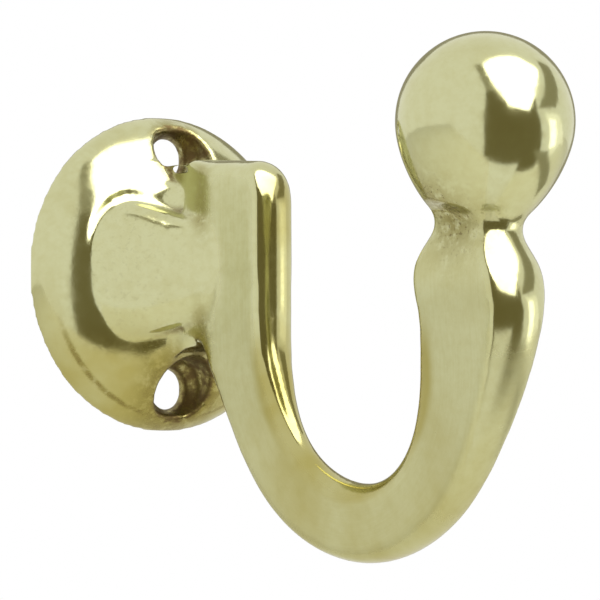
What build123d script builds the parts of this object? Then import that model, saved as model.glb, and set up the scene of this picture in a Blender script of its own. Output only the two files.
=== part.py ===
"""Curtain tieback hook: one small brass casting, screwed to the wall beside a window.

A round rose stands against the wall. Inside its rounded shoulder a boss gathers it into the
root of a flat-sided arm, which drops, sweeps round in a U and rises to a waisted neck with
a ball end. Two countersunk screw holes go through the rose, above and below the root.

Millimetres. The wall is the plane Y = 0, the hook stands out towards -Y, +Z is up, and the
origin is the centre of the rose on the wall. In sketches on Plane.YZ, x is Y and y is Z.
"""
import os
from math import sqrt

from build123d import *

# ---- rose ------------------------------------------------------------------------------
ROSE_RADIUS = 12.35
RIM_LAND = 0.25         # straight edge next to the wall
RIM_CURVE = 3.0         # radius of the rounded rim
DOME_CURVE = 17.7       # radius of the shallow dome inside it
DOME_RADIUS = 11.5      # where the dome ends, as a radius and a height above the wall
DOME_FOOT = 1.5
DISH_RADIUS = 6.6       # hollow in the back, clear of both screws
DISH_DEPTH = 1.8
DISH_TAPER = 45.0       # slope of the hollow's side, in degrees

DOME_HEIGHT = DOME_FOOT + DOME_CURVE - sqrt(DOME_CURVE**2 - DOME_RADIUS**2)

# Slices of the boss that gathers the rose into the root of the arm: height above the wall,
# half width, half height, corner radius, and how far its middle stands above the rose's.
BOSS_SLICES = [
    (3.10, 9.30, 7.40, 6.5, 0.5),
    (5.00, 6.55, 7.50, 4.6, 1.2),
    (7.30, 4.00, 7.10, 3.6, 1.4),
    (8.70, 2.75, 6.80, 2.6, 1.4),
    (10.20, 1.70, 6.60, 1.6, 1.4),
]

# ---- screw holes -----------------------------------------------------------------------
SCREW_SPACING = 18.0
SCREW_BORE = 1.6        # radius that clears a 3 mm wood screw
SCREW_HEAD = 2.45       # radius of the countersinking cutter
SCREW_POCKET = 4.9      # how far the cutter reaches above the countersink's rim
SEAT_TOP = 1.75         # height of the countersink's rim above the wall
SEAT_ANGLE = 90.0

# ---- upright: the straight top of the arm, where it leaves the rose ----------------------
UPRIGHT_Y = -12.2       # middle of the arm's flat side
UPRIGHT_HALF = 1.85     # half the width between the two flat sides
UPRIGHT_FRONT = 2.85    # from the middle to the front edge of the flat side
UPRIGHT_NOSE = 0.85     # how far the front bulges past the flats
UPRIGHT_BACK = 7.2      # from the middle back into the boss
CROWN_EDGE = 6.4        # height of the flat side's top edge
CROWN_RISE = 1.5        # how far the rounded top stands above it
CROWN_FALL = 0.8        # how much lower it is at the front than at the back
CROWN_CORNER = 1.6      # radius of the front top corner

# ---- neck and ball ---------------------------------------------------------------------
NECK = (-39.0, 1.6)
NECK_RADIUS = 3.2
NECK_HALF = 2.05
NECK_SCOOP = (4.4, 1.9)  # where its flats run out into the ball, from the neck's middle
SCOOP_LEAN = (1, 0.7)   # how steeply they do
BALL = (-39.8, 9.0)
BALL_RADIUS = 6.35
TAPER_ANGLE = 15.0      # how far below its middle the ball starts to taper into the neck
TAPER_CURVE = 11.0      # radius of the taper's side

# ---- arm: the line that the middle of the flat sides follows, as (Y, Z) ------------------
ARM_LINE = [
    (UPRIGHT_Y, 0.0),
    (-12.1, -5.4),
    (-17.2, -16.3),
    (-29.0, -19.4),
    (-36.6, -13.3),
    (-39.1, -3.0),
    NECK,
]
NECK_CHORD = sqrt(NECK_RADIUS**2 - NECK_HALF**2)
NECK_NOSE = NECK_RADIUS - NECK_CHORD

# Slices of the arm along that line: how far along it (0 to 1), then how far the flat sides
# reach outwards and inwards of the line, half the width between them, and how far the outer
# and the inner edge bulge past them.
ARM_SLICES = [
    (0.00, 8.20, UPRIGHT_FRONT, UPRIGHT_HALF, 0.50, UPRIGHT_NOSE),
    (0.06, 5.80, 2.85, 1.80, 0.50, 0.80),
    (0.13, 3.20, 2.75, 1.65, 0.45, 0.70),
    (0.20, 2.65, 2.65, 1.35, 0.40, 0.65),
    (0.31, 2.35, 2.35, 1.10, 0.35, 0.95),
    (0.43, 2.05, 2.05, 1.20, 0.45, 1.30),
    (0.54, 2.05, 2.05, 1.30, 0.45, 1.30),
    (0.65, 2.45, 2.45, 1.45, 0.35, 1.15),
    (0.75, 3.00, 3.00, 1.80, 0.45, 1.10),
    (0.84, 3.70, 3.70, 2.25, 0.65, 0.90),
    (0.90, 4.00, 4.00, 2.60, 0.85, 0.88),
    (0.95, 3.80, 3.80, 2.70, 0.85, 0.83),
    (0.98, 2.95, 2.95, 2.25, 0.80, 0.80),
    (1.00, NECK_CHORD, NECK_CHORD, NECK_HALF, NECK_NOSE, NECK_NOSE),
]


def slice_outline(plane, back, front, half, back_nose, front_nose):
    """One slice of the arm: two straight flats joined by shallow convex edges."""
    with BuildSketch(plane) as outline:
        with BuildLine():
            Line((-half, -back), (-half, front))
            ThreePointArc((-half, front), (0, front + front_nose), (half, front))
            Line((half, front), (half, -back))
            ThreePointArc((half, -back), (0, -back - back_nose), (-half, -back))
        make_face()
    return outline.sketch


# ---- arm: a loft through the slices, from the upright round to the neck ------------------
neck_lean = Vector(0, BALL[0] - NECK[0], BALL[1] - NECK[1]).normalized()
arm_line = Spline([(0, y, z) for y, z in ARM_LINE], tangents=[(0, 0, -1), neck_lean])

slices = []
for along, *shape in ARM_SLICES:
    plane = Plane(arm_line @ along, x_dir=(1, 0, 0), z_dir=arm_line % along)
    slices.append(slice_outline(plane, *shape))

with BuildPart() as arm:
    loft(slices)

# ---- upright: a flat plate whose top and front edges carry a convex rim ------------------
def rim_outline(plane, height):
    """One slice of the rim: the convex cap that stands on the plate's edge."""
    with BuildSketch(plane) as outline:
        with BuildLine():
            ThreePointArc((-UPRIGHT_HALF, 0), (0, height), (UPRIGHT_HALF, 0))
            Line((-UPRIGHT_HALF, 0), (UPRIGHT_HALF, 0))
        make_face()
    return outline.sketch


front_y = UPRIGHT_Y - UPRIGHT_FRONT
back_y = UPRIGHT_Y + UPRIGHT_BACK
rim_heights = [
    [CROWN_RISE, CROWN_RISE],
    [CROWN_RISE + (UPRIGHT_NOSE - CROWN_RISE) * turn for turn in (0, 0.25, 0.5, 0.75, 1)],
    [UPRIGHT_NOSE, UPRIGHT_NOSE],
]

with BuildPart() as upright:
    with BuildSketch(Plane.YZ):
        with BuildLine():
            rim = FilletPolyline(
                (back_y, CROWN_EDGE + CROWN_FALL), (front_y, CROWN_EDGE), (front_y, 0),
                radius=CROWN_CORNER,
            )
            Polyline((front_y, 0), (back_y, 0), (back_y, CROWN_EDGE + CROWN_FALL))
        make_face()
    extrude(amount=UPRIGHT_HALF, both=True)
    # The rim's cap runs along the top, turns the corner and goes down the front.
    for edge, heights in zip(rim.edges(), rim_heights):
        caps = []
        for step, height in enumerate(heights):
            place = step / (len(heights) - 1)
            spot = Plane.YZ.from_local_coords(edge @ place)
            heading = Plane.YZ.from_local_coords(edge % place)
            caps.append(rim_outline(Plane(spot, x_dir=(1, 0, 0), z_dir=heading), height))
        loft(caps)

# ---- neck and ball: a turned shape whose neck is flattened in line with the arm ----------
neck_plane = Plane((0, *NECK), x_dir=(1, 0, 0), z_dir=Vector(1, 0, 0).cross(neck_lean))
ball_height = (Vector(0, *BALL) - Vector(0, *NECK)).length

ball_side = Vector(1, 0).rotate(Axis.Z, -TAPER_ANGLE)
ball_foot = Vector(0, ball_height) + ball_side * BALL_RADIUS
taper_middle = ball_foot - ball_side * TAPER_CURVE

# The hollow round the neck is the arc that touches both the neck and the taper.
reach = NECK_RADIUS - taper_middle.X
hollow_radius = (reach**2 + taper_middle.Y**2 - TAPER_CURVE**2) / (2 * (TAPER_CURVE - reach))
hollow_middle = Vector(NECK_RADIUS + hollow_radius, 0)
hollow_end = hollow_middle + (taper_middle - hollow_middle).normalized() * hollow_radius

with BuildPart() as ball:
    with BuildSketch(neck_plane):
        with BuildLine():
            hollow = RadiusArc((NECK_RADIUS, 0), hollow_end, hollow_radius)
            taper = RadiusArc(hollow @ 1, ball_foot, -TAPER_CURVE)
            top = RadiusArc(taper @ 1, (0, ball_height + BALL_RADIUS), -BALL_RADIUS)
            Polyline(top @ 1, (0, 0), (NECK_RADIUS, 0))
        make_face()
    revolve(axis=Axis((0, *NECK), neck_lean))
    with BuildSketch(neck_plane):
        with BuildLine():
            side = Spline([(NECK_HALF, 0), NECK_SCOOP], tangents=[(0, 1), SCOOP_LEAN])
            clear = 2 * BALL_RADIUS
            Polyline(side @ 1, (clear, NECK_SCOOP[1]), (clear, 2 * clear), (0, 2 * clear), (0, 0),
                     (NECK_HALF, 0))
        make_face()
        mirror(about=Plane.YZ)
    extrude(amount=clear, both=True, mode=Mode.INTERSECT)

# ---- boss: a loft from a broad foot on the dome to the narrow root of the arm ------------
with BuildPart() as boss:
    for height, half_width, half_height, corner, rise in BOSS_SLICES:
        with BuildSketch(Plane((0, -height, rise), x_dir=(1, 0, 0), z_dir=(0, -1, 0))):
            RectangleRounded(2 * half_width, 2 * half_height, corner)
    loft()

# ---- the whole casting -------------------------------------------------------------------
with BuildPart() as tieback_hook:
    with BuildSketch(Plane.XY):
        with BuildLine():
            land = Line((ROSE_RADIUS, 0), (ROSE_RADIUS, -RIM_LAND))
            rim = RadiusArc(land @ 1, (DOME_RADIUS, -DOME_FOOT), RIM_CURVE)
            dome = RadiusArc(rim @ 1, (0, -DOME_HEIGHT), DOME_CURVE)
            Polyline(dome @ 1, (0, 0), land @ 0)
        make_face()
    revolve(axis=Axis.Y)
    add(boss.part)
    add(upright.part)
    add(arm.part)
    add(ball.part)

    with BuildSketch(Plane.XZ):
        Circle(DISH_RADIUS)
    extrude(amount=DISH_DEPTH, taper=DISH_TAPER, mode=Mode.SUBTRACT)

    with Locations(Plane((0, -SEAT_TOP, 0), x_dir=(1, 0, 0), z_dir=(0, -1, 0))):
        with GridLocations(0, SCREW_SPACING, 1, 2):
            CounterSinkHole(SCREW_BORE, SCREW_HEAD, SCREW_POCKET, SEAT_ANGLE)

tieback_hook.part.label = "tieback_hook"
os.makedirs("parts", exist_ok=True)
export_step(tieback_hook.part, "parts/tieback_hook.step")
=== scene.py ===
from math import atan2, cos, exp, hypot, pi, radians, sin, sqrt

import bmesh
import bpy
from mathutils import Matrix, Vector, noise


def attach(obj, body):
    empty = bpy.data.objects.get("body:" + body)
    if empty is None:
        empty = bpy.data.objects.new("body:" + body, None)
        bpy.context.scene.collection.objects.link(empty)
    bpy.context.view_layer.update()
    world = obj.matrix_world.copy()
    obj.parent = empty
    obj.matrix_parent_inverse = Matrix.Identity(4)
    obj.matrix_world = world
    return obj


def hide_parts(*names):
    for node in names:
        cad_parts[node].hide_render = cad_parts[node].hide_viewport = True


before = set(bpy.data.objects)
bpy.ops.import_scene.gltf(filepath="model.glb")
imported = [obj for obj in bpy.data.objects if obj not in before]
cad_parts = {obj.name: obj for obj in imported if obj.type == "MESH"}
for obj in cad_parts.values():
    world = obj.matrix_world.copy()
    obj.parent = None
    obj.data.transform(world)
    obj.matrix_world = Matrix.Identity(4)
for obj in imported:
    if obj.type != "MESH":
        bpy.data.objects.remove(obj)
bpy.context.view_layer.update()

scene = bpy.context.scene
scene.view_settings.view_transform = "Standard"

# ==== studio: a white light tent over a pale board ===========================================
# The hook hangs in a tent of white cloth over a pale board. The dark room shows through the
# tent's front opening, under a softbox, and a strip light, some grey flaps and a small bounce
# card stand round it. The cards' places are given from the ball, which mirrors them all.
MILLIMETRE = 0.001
BALL = (-39.8, 9.0)         # Y and Z of the ball's middle, in millimetres
BALL_MIDDLE = Vector((0.0, BALL[0] * MILLIMETRE, BALL[1] * MILLIMETRE))
TENT_WHITE = (1.0, 1.0, 1.0)
ROOM_DARK = (0.205, 0.180, 0.092)
FLAP_GREY = (0.36, 0.34, 0.25)
SOFTBOX_POWER = 3.8
STRIP_POWER = 1.35          # of the strip light's soft edge; its middle has twice that
BOARD_PALE = (0.68, 0.67, 0.62)
BOARD_LEFT, BOARD_RIGHT, BOARD_BACK = -1.2, 1.2, 1.2
BOARD_FRONT = -0.142        # its front edge stops just ahead of the hook
BOARD_LEVEL = -0.116


def matt_material(name, colour):
    material = bpy.data.materials.new(name)
    material.use_nodes = True
    shader = material.node_tree.nodes["Principled BSDF"]
    shader.inputs["Base Color"].default_value = (*colour, 1.0)
    shader.inputs["Roughness"].default_value = 1.0
    shader.inputs["Specular IOR Level"].default_value = 0.0
    return material


def glowing_material(name, colour, power):
    material = matt_material(name, (0.0, 0.0, 0.0))
    shader = material.node_tree.nodes["Principled BSDF"]
    shader.inputs["Emission Color"].default_value = (*colour, 1.0)
    shader.inputs["Emission Strength"].default_value = power
    return material


def set_up(name, corners, material):
    """A flat board or card through its corners, which is no part of the hook."""
    shape = bmesh.new()
    bmesh.ops.contextual_create(shape, geom=[shape.verts.new(corner) for corner in corners])
    mesh = bpy.data.meshes.new(name)
    shape.to_mesh(mesh)
    shape.free()
    mesh.materials.append(material)
    card = bpy.data.objects.new(name, mesh)
    scene.collection.objects.link(card)
    return card


def towards(turn, rise):
    """A direction, as degrees round from the front towards the left, and degrees up."""
    turn, rise = radians(turn), radians(rise)
    return Vector((-sin(turn) * cos(rise), -cos(turn) * cos(rise), sin(rise)))


def hang_card(name, reach, middle, directions, material):
    """A flat card that far from the ball in metres, square to its middle direction, with its
    corners in the other directions from the ball."""
    facing = towards(*middle)
    rays = [towards(*direction) for direction in directions]
    corners = [BALL_MIDDLE + ray * (reach / ray.dot(facing)) for ray in rays]
    card = set_up(name, corners, material)
    card.visible_camera = False
    card.visible_shadow = False


tent = bpy.data.worlds.new("white_tent")
tent.use_nodes = True
tent.node_tree.nodes["Background"].inputs["Color"].default_value = (*TENT_WHITE, 1.0)
scene.world = tent

dark_room = glowing_material("dark_room", ROOM_DARK, 1.0)
grey_flap = glowing_material("grey_flap", FLAP_GREY, 1.0)
white_card = glowing_material("white_card", TENT_WHITE, 1.0)
softbox = glowing_material("softbox", TENT_WHITE, SOFTBOX_POWER)
soft_strip = glowing_material("soft_strip", TENT_WHITE, STRIP_POWER)
bright_strip = glowing_material("bright_strip", TENT_WHITE, 2 * STRIP_POWER)

hang_card("tent_opening", 1.0, (3, -5),
          [(37, 40), (41, -2), (41, -66), (-30, -64), (-54, -50), (-52, -35), (-31, 8), (-31, 30)],
          dark_room)
hang_card("overhead_softbox", 0.8, (-12, 50),
          [(7, 9), (-20, 9), (-36, 30), (-70, 44), (-68, 64), (10, 80), (50, 68), (24, 37)],
          softbox)
hang_card("tent_fold", 0.9, (44, 52),
          [(38, 34), (72, 70), (46, 72), (20, 31)], grey_flap)
hang_card("flap_upper_right", 0.7, (-72, 24),
          [(-90, 44), (-99, 32), (-64, 11), (-33, 11)], grey_flap)
hang_card("flap_lower_right", 0.2, (-65, -28),
          [(-34, -30), (-60, -24), (-96, -24), (-96, -32), (-60, -34)], grey_flap)
hang_card("strip_glow", 0.6, (-70, -10),
          [(-41, 7), (-69, 6), (-93, -17), (-75, -34)], soft_strip)
hang_card("strip_light", 0.55, (-60, -9),
          [(-49, 2), (-61, 2), (-70, -17), (-60, -22)], bright_strip)
hang_card("bounce_card", 0.033, (5, -55),
          [(31, -44), (-14, -42), (-14, -80), (31, -80)], white_card)
hang_card("backdrop_flag", 0.8, (-143, 3),
          [(-116, -24), (-170, -24), (-170, 30), (-116, 30)], grey_flap)
set_up("pale_board",
       [(BOARD_LEFT, BOARD_FRONT, BOARD_LEVEL), (BOARD_RIGHT, BOARD_FRONT, BOARD_LEVEL),
        (BOARD_RIGHT, BOARD_BACK, BOARD_LEVEL), (BOARD_LEFT, BOARD_BACK, BOARD_LEVEL)],
       matt_material("board_paint", BOARD_PALE))

# ==== camera: in front and well to the left ==================================================
# It looks a touch upwards through a long lens, so that the ball stands clear of the rose and
# the near flat side of the arm shows from end to end.
CAMERA_PLACE = (-0.17151, -0.24614, -0.01586)
CAMERA_TURN = -36.95        # about the upright, from straight in front
CAMERA_TILT = 92.64
CAMERA_ROLL = -0.18
CAMERA_LENS = 229.97
FILM_WIDTH = 36.0

camera_data = bpy.data.cameras.new("camera")
camera_data.sensor_width = FILM_WIDTH
camera_data.lens = CAMERA_LENS
camera = bpy.data.objects.new("camera", camera_data)
camera.location = CAMERA_PLACE
camera.rotation_euler = (
    Matrix.Rotation(radians(CAMERA_TURN), 3, "Z")
    @ Matrix.Rotation(radians(CAMERA_TILT), 3, "X")
    @ Matrix.Rotation(radians(CAMERA_ROLL), 3, "Z")
).to_euler()
scene.collection.objects.link(camera)
scene.camera = camera

# ==== the casting ============================================================================
# The whole hook is one small sand casting in brass. Its corners come off the linishing belt
# and the mop softly rounded, a boss gathers the domed rose into the arm, and small hollows
# are left where neither belt nor mop can reach.

# Sizes are in millimetres. Heights are measured out from the wall, across from the middle of
# the hook to either side, and up from the middle of the rose.
GRAIN = 0.20                # spacing of the skin's points
WELD = 1e-6                 # distance in metres under which two points of the casting are one

DOME_CURVE = 17.7           # radius of the shallow dome
DOME_RADIUS = 11.5          # where it meets the rounded rim, and its height there
DOME_FOOT = 1.5
DOME_LIFT = 0.3             # how much fuller the mopped dome is inside its rim
LIFT_FROM, LIFT_TO = 12.3, 9.0
ROSE_TOP = 6.0              # no part of the bare dome is higher
ROSE_SKIN = 0.15            # how near the dome a point has to be to belong to it

BOSS_REACH = 9.0            # half the boss's width where it leaves the dome
BOSS_SLOPE = 0.85           # rise of its flanks for each millimetre inwards, at the foot
BOSS_HOLLOW = 0.017         # and how fast that grows
BOSS_HALF = 5.15            # half its height at its tallest, this far from the middle
BOSS_TALLEST = 5.3
BOSS_TAPER = 0.2            # how fast it narrows from there to the arm
BOSS_CROWN = 4.5            # how flat the flank stays from its middle to its edges
GROOVE = 0.40               # depth and half width of the chased groove over the boss
GROOVE_HALF = 0.50
GROOVE_RUN = (2.5, 6.0)     # distances from the middle over which it deepens

ARM_HALF = 1.85             # half the arm's width
ROOT_CURVE = 2.4            # hollow corner between the dome and the arm, beside the screws
ROOT_END = (7.2, 6.0)       # it starts at the first of these, and is whole at the second
HOLE_HEIGHT = 9.0           # from the middle of the rose to the middle of a screw hole
HOLE_RADIUS = 2.55

FRONT_RADIUS = 11.0         # part of the rose's front that is dressed, by radius and height
FRONT_HEIGHTS = (1.6, 11.5)
FRONT_GAP = 0.08            # how clear of the arm's side it stays
SEAM_ACROSS = (ARM_HALF - 0.3, ARM_HALF + 0.1)  # the line where the boss meets the arm
SEAM_HEIGHTS = (8.0, 10.8)
SEAM_HALF = 4.7

DRAFT = 0.4                 # how much wider each side of the arm is at its root
DRAFT_TOP, DRAFT_FOOT = 15.0, 9.3
DRAFT_CORE = 0.8            # points nearer the middle stay where they are
DRAFT_ACROSS = (3.6, 1.95)  # where the widening fades out, away from the arm,
DRAFT_HEIGHTS = (5.0, 8.0)  # towards the dome,
DRAFT_DOWN = (-14.0, -8.0)  # down the arm
DRAFT_UP = 9.0              # and above it

NOSE_EDGE = 14.75           # where the upright's flat sides end
NOSE_CURVE = 3.0            # radius of the shallow nose between them
NOSE_RUN = (-9.0, -3.0)     # where it runs out into the bend
NOSE_LIMIT = 17.0           # all that is further out is the bend
CROWN_TURN = 4.8            # where the nose starts to turn over at the top, and how sharply
CROWN_CURVE = 3.7
CROWN_END = 3.5             # how far up it goes on turning

FACES_WALL = 0.3            # how far a normal leans to the wall on the back, which is left alone
BACK_EDGE = 0.3             # and the height of the plain edge round it
MOP_PASSES = 9              # smoothing that rounds every corner
ROOT_PASSES = 12            # further smoothing where the boss meets the arm
ROOT_HEIGHTS = (6.5, 12.0)
ROOT_ACROSS, ROOT_UP = 4.5, 7.0
RIPPLE = 0.010              # depth of the slight waves that hand polishing leaves
RIPPLE_LENGTH = 2.6
RIPPLE_FOOT = 0.5           # they stop short of the wall

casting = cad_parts["tieback_hook"]


def within(band, value):
    return band[0] < value < band[1]


def ease(start, end, value):
    """From 0 at the start to 1 at the end, gently, whichever is the higher."""
    share = min(1.0, max(0.0, (value - start) / (end - start)))
    return share * share * (3.0 - 2.0 * share)


def bell(distance, spread):
    return exp(-((distance / spread) ** 2))


def dome_height(radius):
    return DOME_FOOT + sqrt(DOME_CURVE**2 - radius**2) - sqrt(DOME_CURVE**2 - DOME_RADIUS**2)


def dome_lift(radius):
    share = min(1.0, max(0.0, (radius - LIFT_TO) / (LIFT_FROM - LIFT_TO)))
    return DOME_LIFT * (1.0 - share**4) ** 1.5


def boss_edge(across):
    """Half the boss's height, that far from the middle."""
    if across < BOSS_TALLEST:
        return BOSS_HALF - (BOSS_TALLEST - across) * BOSS_TAPER
    share = (across - BOSS_TALLEST) / (BOSS_REACH - BOSS_TALLEST)
    return BOSS_HALF * sqrt(1.0 - share**2)


def boss_rise(across, up):
    """How far the boss stands out from the dome."""
    half = boss_edge(across)
    if abs(up) >= half:
        return 0.0
    inwards = BOSS_REACH - across
    flank = (dome_height(BOSS_REACH) + DOME_LIFT
             + BOSS_SLOPE * inwards + BOSS_HOLLOW * inwards**2)
    middle = dome_height(across) + dome_lift(across)
    return max(0.0, flank - middle) * (1.0 - (abs(up) / half) ** BOSS_CROWN)


def groove_depth(across, up):
    """Depth of the groove, which follows the boss's upper edge just outside it."""
    if up <= 0:
        return 0.0
    outside = up - boss_edge(across) - GROOVE_HALF
    return GROOVE * bell(outside, GROOVE_HALF) * ease(*GROOVE_RUN, across)


def root_rise(across, up):
    """How far the hollow corner beside the arm stands out from the dome."""
    beside = max(0.0, across - ARM_HALF)
    if beside >= ROOT_CURVE:
        return 0.0
    corner = ROOT_CURVE - sqrt(ROOT_CURVE**2 - (ROOT_CURVE - beside) ** 2)
    return corner * ease(*ROOT_END, abs(up))


def front_height(across, up):
    """Height of the rose's front beside the arm."""
    radius = hypot(across, up)
    dome = dome_height(radius) + dome_lift(radius)
    if across >= BOSS_REACH:
        return dome
    return dome + max(boss_rise(across, up), root_rise(across, up)) - groove_depth(across, up)


def dressed_height(across, up, height):
    """Where a point at that height comes once the rose, the boss and the root are dressed."""
    radius = hypot(across, up)
    if radius < FRONT_RADIUS and within(FRONT_HEIGHTS, height) and across > ARM_HALF + FRONT_GAP:
        front = front_height(across, up)
        in_hole = hypot(across, abs(up) - HOLE_HEIGHT) < HOLE_RADIUS
        return min(height, front) if in_hole else front
    if within(SEAM_ACROSS, across) and within(SEAM_HEIGHTS, height) and abs(up) < SEAM_HALF:
        return max(height, front_height(across, up))
    on_dome = radius > FRONT_RADIUS or abs(height - dome_height(radius)) < ROSE_SKIN
    if height < ROSE_TOP and radius < LIFT_FROM and on_dome:
        return height + dome_lift(radius) * min(1.0, height)
    return height


def root_widening(across, up, height):
    """How far a point on the arm's side moves out, as the arm widens towards its root."""
    if across < DRAFT_CORE or up > DRAFT_UP or height > DRAFT_TOP:
        return 0.0
    share = min(1.0, (DRAFT_TOP - height) / (DRAFT_TOP - DRAFT_FOOT))
    fade = ease(*DRAFT_ACROSS, across) * ease(*DRAFT_HEIGHTS, height) * ease(*DRAFT_DOWN, up)
    return DRAFT * share**2 * fade


def nose_height(across, up, height):
    """Where a point at that height comes once the upright's nose and its crown are shaped."""
    if height > NOSE_LIMIT:
        return height
    front = NOSE_EDGE + sqrt(NOSE_CURVE**2 - min(across, ARM_HALF) ** 2)
    front -= sqrt(NOSE_CURVE**2 - ARM_HALF**2)
    if up > CROWN_TURN:
        past_turn = min(up - CROWN_TURN, CROWN_END)
        front -= CROWN_CURVE - sqrt(CROWN_CURVE**2 - past_turn**2)
    return height - max(0.0, height - front) * ease(*NOSE_RUN, up)


def even_skin(mesh):
    """The mesh, in millimetres, as an even net of points."""
    piece = bpy.data.objects.new("even_skin", mesh)
    scene.collection.objects.link(piece)
    remesh = piece.modifiers.new("even_skin", "REMESH")
    remesh.mode = "VOXEL"
    remesh.voxel_size = GRAIN
    even = bpy.data.meshes.new_from_object(
        piece.evaluated_get(bpy.context.evaluated_depsgraph_get())
    )
    bpy.data.objects.remove(piece)
    return even


def smooth(shape, points, passes):
    for turn in range(passes):
        bmesh.ops.smooth_vert(
            shape, verts=points, factor=0.5, use_axis_x=True, use_axis_y=True, use_axis_z=True,
        )


skin_shape = bmesh.new()
skin_shape.from_mesh(casting.data)
bmesh.ops.remove_doubles(skin_shape, verts=skin_shape.verts, dist=WELD)
bmesh.ops.scale(skin_shape, verts=skin_shape.verts, vec=Vector.Fill(3, 1 / MILLIMETRE))
skin_mesh = bpy.data.meshes.new("polished_skin")
skin_shape.to_mesh(skin_mesh)
skin_shape.free()
cast_mesh = even_skin(skin_mesh)

# The front is dressed with files and chasing tools first.
skin_shape = bmesh.new()
skin_shape.from_mesh(cast_mesh)
skin_shape.normal_update()
for v in skin_shape.verts:
    across, up, height = abs(v.co.x), v.co.z, -v.co.y
    if v.normal.y > FACES_WALL or height < BACK_EDGE:
        continue
    height = dressed_height(across, up, height)
    wider = root_widening(across, up, height)
    v.co.x += wider if v.co.x > 0 else -wider
    v.co.y = -nose_height(across, up, height)
skin_shape.to_mesh(cast_mesh)
skin_shape.free()
dressed_mesh = even_skin(cast_mesh)

# Then the mop rounds every corner, most of all at the root, and leaves its slight waves.
skin_shape = bmesh.new()
skin_shape.from_mesh(dressed_mesh)
smooth(skin_shape, skin_shape.verts, MOP_PASSES)
root_points = [v for v in skin_shape.verts if within(ROOT_HEIGHTS, -v.co.y)
               and abs(v.co.x) < ROOT_ACROSS and abs(v.co.z) < ROOT_UP]
smooth(skin_shape, root_points, ROOT_PASSES)
skin_shape.normal_update()
for v in skin_shape.verts:
    if -v.co.y > RIPPLE_FOOT:
        v.co += v.normal * (RIPPLE * noise.noise(v.co / RIPPLE_LENGTH))

# What the finish follows: how hollow the surface is, the belt's lines along the arm, where
# only the belt has been, where the casting's pits are left, where the tone is warmer and darker
# as painted shade and a painted reflection, and where the polish has dried brown, with painted
# shade in the screw holes, round the lower hole and along a line low on the rim. In a pair, it
# starts at the first and is whole at the second.
HOLLOW_PASSES = 3
BEND_MIDDLE = (-25.3, -7.0)         # Y and Z of the middle of the arm's bend
BEND_RADIUS = 12.9
NECK_MIDDLE = (-39.0, 2.2)
BALL_SHINE = 6.8                    # radius of the part of the ball that the mop has shone

SIDEWAYS = (0.90, 0.98)             # how square to the side the flats stand
PAST_BOSS = (8.5, 10.5)
UNDER_NECK = (-5.0, -8.5)           # the free end of the arm is belted all round
FREE_END = (33.0, 37.0)

SEAM_MIDDLE, SEAM_SPREAD = (2.4, 8.6), (0.5, 0.9)   # across and height of the root's corner
NECK_PITS, NECK_SOIL = 2.6, 2.4     # how far the neck's pits and soiling spread
ROSE_PITS, ROSE_PITS_SPREAD = 6.0, 3.0

BEND_STAIN, STAIN_SPREAD = (-20.0, -15.5), 5.5      # Y and Z of the warm patch in the bend
BOTTOM = (-9.0, -17.0)
FACES_FRONT = (0.3, 0.8)
FREE_FRONT, FREE_FRONT_HEIGHTS = (3.0, -8.0), (34.0, 38.0)
INNER_EDGE = (11.6, 10.4)           # radius about the bend's middle
INNER_DOWN, INNER_HEIGHTS = (-3.0, -8.0), (11.0, 13.0)
ON_ROSE = (7.0, 5.0)
ROSE_DOWN = (-2.0, -8.0)
RIM, RIM_DOWN = (10.5, 11.6), (3.0, -6.0)
NOSE_FRONT = (0.5, 0.95)
NOSE_START, NOSE_FINISH = (14.0, 15.5), (22.0, 17.0)

IN_HOLE, HOLE_DEPTH, HOLE_BACK = 0.1, 4.6, 0.1
HOLE_RIM = (0.8, 0.0)               # distance from the hole's edge
HOLE_SOIL_AND_SHADE = 1.7
NEAR_HOLE = (6.5, 5.5)
SEAM_OFF_MIDDLE = (0.0, 3.0)
# A painted shaded line low on the rose's rim.
RIM_LINE, RIM_LINE_WIDTH = 11.3, (0.22, 0.05)
RIM_LINE_DOWN, RIM_LINE_HEIGHTS = (-3.0, -7.0), (4.0, 3.0)


def hollows(shape):
    """The sum of the skin's two curvatures at each of its points, above 0 where it is hollow
    and below 0 where it bulges."""
    hollow = {}
    for v in shape.verts:
        near = [edge.other_vert(v).co for edge in v.link_edges]
        middle = sum(near, Vector()) / len(near)
        hollow[v] = (middle - v.co).dot(v.normal) * 4.0 / GRAIN**2
    for turn in range(HOLLOW_PASSES):
        hollow = {
            v: (own + sum(hollow[edge.other_vert(v)] for edge in v.link_edges))
            / (1 + len(v.link_edges))
            for v, own in hollow.items()
        }
    return hollow


def belt_lines(y, z):
    """Which of the belt's lines round the bend passes a point, and how far along it that is."""
    out = y - BEND_MIDDLE[0]
    below, above = min(0.0, z - BEND_MIDDLE[1]), max(0.0, z - BEND_MIDDLE[1])
    run = atan2(abs(below), out) * BEND_RADIUS + (above if out < 0 else -above)
    return hypot(out, below), run


def belted(x, y, z, normal):
    if hypot(x, y - BALL[0], z - BALL[1]) < BALL_SHINE:
        return 0.0
    flat_side = ease(*SIDEWAYS, abs(normal.x)) * ease(*PAST_BOSS, -y)
    free_end = ease(*UNDER_NECK, z) * ease(*FREE_END, -y)
    return max(flat_side, free_end)


def root_seam(x, y):
    return bell(abs(x) - SEAM_MIDDLE[0], SEAM_SPREAD[0]) * bell(-y - SEAM_MIDDLE[1], SEAM_SPREAD[1])


def pitting(x, y, z):
    neck = bell(hypot(y - NECK_MIDDLE[0], z - NECK_MIDDLE[1]), NECK_PITS)
    return max(neck, 0.5 * root_seam(x, y), 0.12 * bell(-y - ROSE_PITS, ROSE_PITS_SPREAD))


# Painted shade and a painted reflection: the tone goes warmer and darker low on the rose and round
# its lower rim, towards the bottom and on the inner side of the bend, and down the upright's nose,
# where the arm's dark inner side is reflected. The patch in the bend and the free arm's front are
# warmer too.
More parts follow.
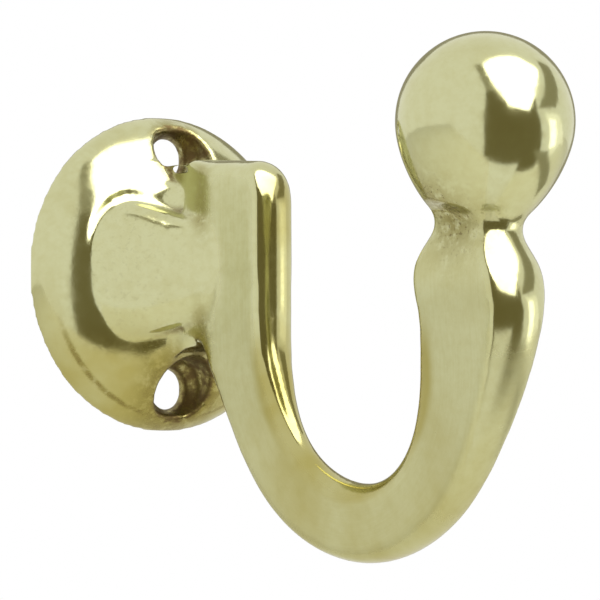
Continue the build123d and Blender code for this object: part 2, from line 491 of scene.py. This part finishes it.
def warmth_and_shade(x, y, z, normal):
    height = -y
    bend = bell(hypot(y - BEND_STAIN[0], z - BEND_STAIN[1]), STAIN_SPREAD)
    free_front = (ease(*FACES_FRONT, -normal.y) * ease(*FREE_FRONT, z)
                  * ease(*FREE_FRONT_HEIGHTS, height))
    inner_edge = (ease(*INNER_EDGE, belt_lines(y, z)[0]) * ease(*INNER_DOWN, z)
                  * ease(*INNER_HEIGHTS, height))
    low_on_rose = ease(*ROSE_DOWN, z) * ease(*ON_ROSE, height)
    rim = ease(*RIM_DOWN, z) * ease(*ON_ROSE, height) * ease(*RIM, hypot(x, z))
    nose = (ease(*NOSE_FRONT, -normal.y) * ease(*NOSE_START, height)
            * ease(*NOSE_FINISH, height))
    return max(bend, low_on_rose, 0.9 * inner_edge, 0.7 * nose, 0.55 * rim,
               0.40 * ease(*BOTTOM, z), 0.20 * free_front)


def soiling_and_shade(x, y, z):
    """Most in the holes, partly the brown cast wall and partly painted shade; more round the lower
    hole than the upper, partly soiling and partly painted shade; soiling at the root's corner and
    round the neck; and a painted shaded line low on the rim.
    """
    height = -y
    from_hole = hypot(x, abs(z) - HOLE_HEIGHT) - HOLE_RADIUS
    in_hole = from_hole < IN_HOLE and HOLE_BACK < height < HOLE_DEPTH
    hole_rim = ease(*HOLE_RIM, abs(from_hole - IN_HOLE)) * ease(*NEAR_HOLE, height)
    round_hole = bell(from_hole, HOLE_SOIL_AND_SHADE) * ease(*NEAR_HOLE, height) if z < 0 else 0.0
    seam = root_seam(x, y) * ease(*SEAM_OFF_MIDDLE, abs(z))
    neck = bell(hypot(y - NECK_MIDDLE[0], z - NECK_MIDDLE[1]), NECK_SOIL)
    rim_line = (ease(*RIM_LINE_WIDTH, abs(hypot(x, z) - RIM_LINE)) * ease(*RIM_LINE_DOWN, z)
                * ease(*RIM_LINE_HEIGHTS, height))
    return max(0.95 * in_hole, (0.6 if z < 0 else 0.3) * hole_rim, 0.5 * round_hole,
               0.30 * seam, 0.42 * neck, 0.55 * rim_line)


skin_shape.normal_update()
layer = {name: skin_shape.verts.layers.float.new(name)
         for name in ("hollow", "belt_line", "belt_run", "satin", "pitted", "warm_and_shaded", "dirt_and_shade")}
for v, hollow in hollows(skin_shape).items():
    v[layer["hollow"]] = hollow
    v[layer["belt_line"]], v[layer["belt_run"]] = belt_lines(v.co.y, v.co.z)
    v[layer["satin"]] = belted(*v.co, v.normal)
    v[layer["pitted"]] = pitting(*v.co)
    v[layer["warm_and_shaded"]] = warmth_and_shade(*v.co, v.normal)
    v[layer["dirt_and_shade"]] = soiling_and_shade(*v.co)

bmesh.ops.scale(skin_shape, verts=skin_shape.verts, vec=Vector.Fill(3, MILLIMETRE))
for face in skin_shape.faces:
    face.smooth = True
skin_shape.to_mesh(skin_mesh)
skin_shape.free()
polished_skin = bpy.data.objects.new("polished_skin", skin_mesh)
scene.collection.objects.link(polished_skin)

# The brass is pale where the mop has shone it, satin where only the belt ran, warm where the
# lacquer has aged and warmer and darker where shade and a reflection are painted on, olive on the
# keenest edges and in damp corners, and brown in pits and hollows that keep the polish, with
# painted shade in the hollows, in the screw holes and along a line low on the rim.
BRASS_PALE = (0.598, 0.596, 0.338, 1.0)
BRASS_WARM = (0.43, 0.38, 0.125, 1.0)
POLISH_GREEN = (0.36, 0.32, 0.075, 1.0)
DIRT_AND_SHADE_BROWN = (0.135, 0.085, 0.026, 1.0)

CLOUD_SCALE, CLOUD_DETAIL = 0.16, 3.0                   # the patterns' scales, per millimetre
MOTTLE_SCALE, MOTTLE_DETAIL, MOTTLE_ROUGH = 1.3, 5.0, 0.65
GRIT_SCALE, GRIT_DETAIL, GRIT_ROUGH = 3.4, 3.0, 0.6
SCRATCH_SCALE, SCRATCH_DETAIL, SCRATCH_ROUGH = 1.0, 4.0, 0.7
BELT_FINE, BELT_LONG = 5.0, 0.16                        # across the belt's lines and along them

# Each set has a pattern's two ends, and what comes of it at the one and at the other.
CLOUDED_WARMTH = (0.25, 0.62, 0.55, 1.0)
CLOUDS_ALONE = (0.48, 0.75, 0.0, 0.30)
MOTTLED_WARMTH = (0.35, 0.70, 0.0, 0.16)
SCRATCHED_WARMTH = (0.42, 0.62, 0.0, 0.08)
MOTTLED_DIRT_AND_SHADE = (0.30, 0.60, 0.35, 1.0)
MOTTLED_GREEN = (0.35, 0.50, 0.0, 2.5)
# Brown in hollows and creases: partly dried polish, partly painted shade.
HOLLOW_DIRT_AND_SHADE = (0.35, 1.6, 0.0, 1.0)
EDGE_GREEN = (0.9, 2.6, 0.0, 0.5)
GRIT_PITS = (0.56, 0.66, 0.0, 1.0)
MOTTLED_SHINE = (0.3, 0.7, 0.10, 0.16)
SOILED_AND_SHADED_METAL = (0.2, 1.0, 1.0, 0.75)

PIT_DIRT = 0.8
GREEN_TINT = 0.6
SATIN_DULL, SCRATCH_DULL, DIRT_AND_SHADE_DULL = 0.14, 0.10, 0.35
SCRATCH_RELIEF, PIT_RELIEF, MOTTLE_RELIEF = 0.55, -1.0, 0.30
RELIEF_STRENGTH, RELIEF_DEPTH = 0.35, 0.00004

brass = bpy.data.materials.new("brass")
brass.use_nodes = True
nodes, links = brass.node_tree.nodes, brass.node_tree.links
shader = nodes["Principled BSDF"]


def feed(node, sockets):
    for name, value in sockets.items():
        if isinstance(value, bpy.types.NodeSocket):
            links.new(value, node.inputs[name])
        else:
            node.inputs[name].default_value = value
    return node


def reading(name):
    node = nodes.new("ShaderNodeAttribute")
    node.attribute_name = name
    return node.outputs["Fac"]


def worked(operation, *values, clamp=False):
    node = nodes.new("ShaderNodeMath")
    node.operation = operation
    node.use_clamp = clamp
    return feed(node, dict(enumerate(values))).outputs[0]


def times(one, other, clamp=False):
    return worked("MULTIPLY", one, other, clamp=clamp)


def plus(one, other, clamp=False):
    return worked("ADD", one, other, clamp=clamp)


def between(value, low, high, at_low, at_high):
    node = nodes.new("ShaderNodeMapRange")
    node.interpolation_type = "SMOOTHSTEP"
    return feed(node, {"Value": value, "From Min": low, "From Max": high,
                       "To Min": at_low, "To Max": at_high}).outputs["Result"]


def tint(share, below, above):
    node = nodes.new("ShaderNodeMix")
    node.data_type = "RGBA"
    return feed(node, {"Factor": share, 6: below, 7: above}).outputs[2]


def speckle(vector, scale, detail, roughness=0.5):
    node = nodes.new("ShaderNodeTexNoise")
    return feed(node, {"Vector": vector, "Scale": scale, "Detail": detail,
                       "Roughness": roughness}).outputs["Fac"]


in_metres = nodes.new("ShaderNodeTexCoord").outputs["Object"]
in_millimetres = nodes.new("ShaderNodeMapping")
feed(in_millimetres, {"Vector": in_metres, "Scale": Vector.Fill(3, 1 / MILLIMETRE)})
place = in_millimetres.outputs["Vector"]
along_belt = nodes.new("ShaderNodeCombineXYZ")
feed(along_belt, {"X": times(reading("belt_line"), BELT_FINE),
                  "Y": times(reading("belt_run"), BELT_LONG)})

clouds = speckle(place, CLOUD_SCALE, CLOUD_DETAIL)
mottle = speckle(place, MOTTLE_SCALE, MOTTLE_DETAIL, MOTTLE_ROUGH)
grit = speckle(place, GRIT_SCALE, GRIT_DETAIL, GRIT_ROUGH)
scratches = speckle(along_belt.outputs["Vector"], SCRATCH_SCALE, SCRATCH_DETAIL, SCRATCH_ROUGH)
satin, dirt_and_shade, hollow = reading("satin"), reading("dirt_and_shade"), reading("hollow")

# Warm tone from the warm mask, which is mostly painted shade and a painted reflection, and from
# clouds of aged lacquer.
warm_and_shaded = times(reading("warm_and_shaded"), between(clouds, *CLOUDED_WARMTH))
warm_and_shaded = plus(warm_and_shaded, between(clouds, *CLOUDS_ALONE), clamp=True)
scratched = times(satin, scratches)
pits = times(between(grit, *GRIT_PITS), reading("pitted"))
green = times(dirt_and_shade, between(mottle, *MOTTLED_GREEN), clamp=True)
# Brown from pits, dried polish and soiling, and painted shade in hollows and creases, in the screw
# holes, round the lower hole and along a line low on the rim.
dirty_and_shaded = worked("MAXIMUM", between(hollow, *HOLLOW_DIRT_AND_SHADE), dirt_and_shade)
dirty_and_shaded = times(dirty_and_shaded, between(mottle, *MOTTLED_DIRT_AND_SHADE))
soiled_and_shaded = worked("MAXIMUM", dirty_and_shaded, times(pits, PIT_DIRT), clamp=True)

tone = tint(warm_and_shaded, BRASS_PALE, BRASS_WARM)
tone = tint(between(mottle, *MOTTLED_WARMTH), tone, BRASS_WARM)
tone = tint(times(satin, between(scratches, *SCRATCHED_WARMTH)), tone, BRASS_WARM)
tone = tint(times(green, GREEN_TINT), tone, POLISH_GREEN)
tone = tint(between(times(hollow, -1.0), *EDGE_GREEN), tone, POLISH_GREEN)
tone = tint(soiled_and_shaded, tone, DIRT_AND_SHADE_BROWN)

dull = plus(between(mottle, *MOTTLED_SHINE), times(satin, SATIN_DULL))
dull = plus(dull, times(scratched, SCRATCH_DULL))
dull = plus(dull, times(soiled_and_shaded, DIRT_AND_SHADE_DULL), clamp=True)

relief = plus(times(scratched, SCRATCH_RELIEF), times(pits, PIT_RELIEF))
relief = plus(relief, times(mottle, MOTTLE_RELIEF))
bump = nodes.new("ShaderNodeBump")
feed(bump, {"Strength": RELIEF_STRENGTH, "Distance": RELIEF_DEPTH, "Height": relief})
feed(shader, {"Base Color": tone, "Roughness": dull, "Normal": bump.outputs["Normal"],
              "Metallic": between(soiled_and_shaded, *SOILED_AND_SHADED_METAL)})

skin_mesh.materials.append(brass)
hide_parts("tieback_hook")
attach(polished_skin, "root")
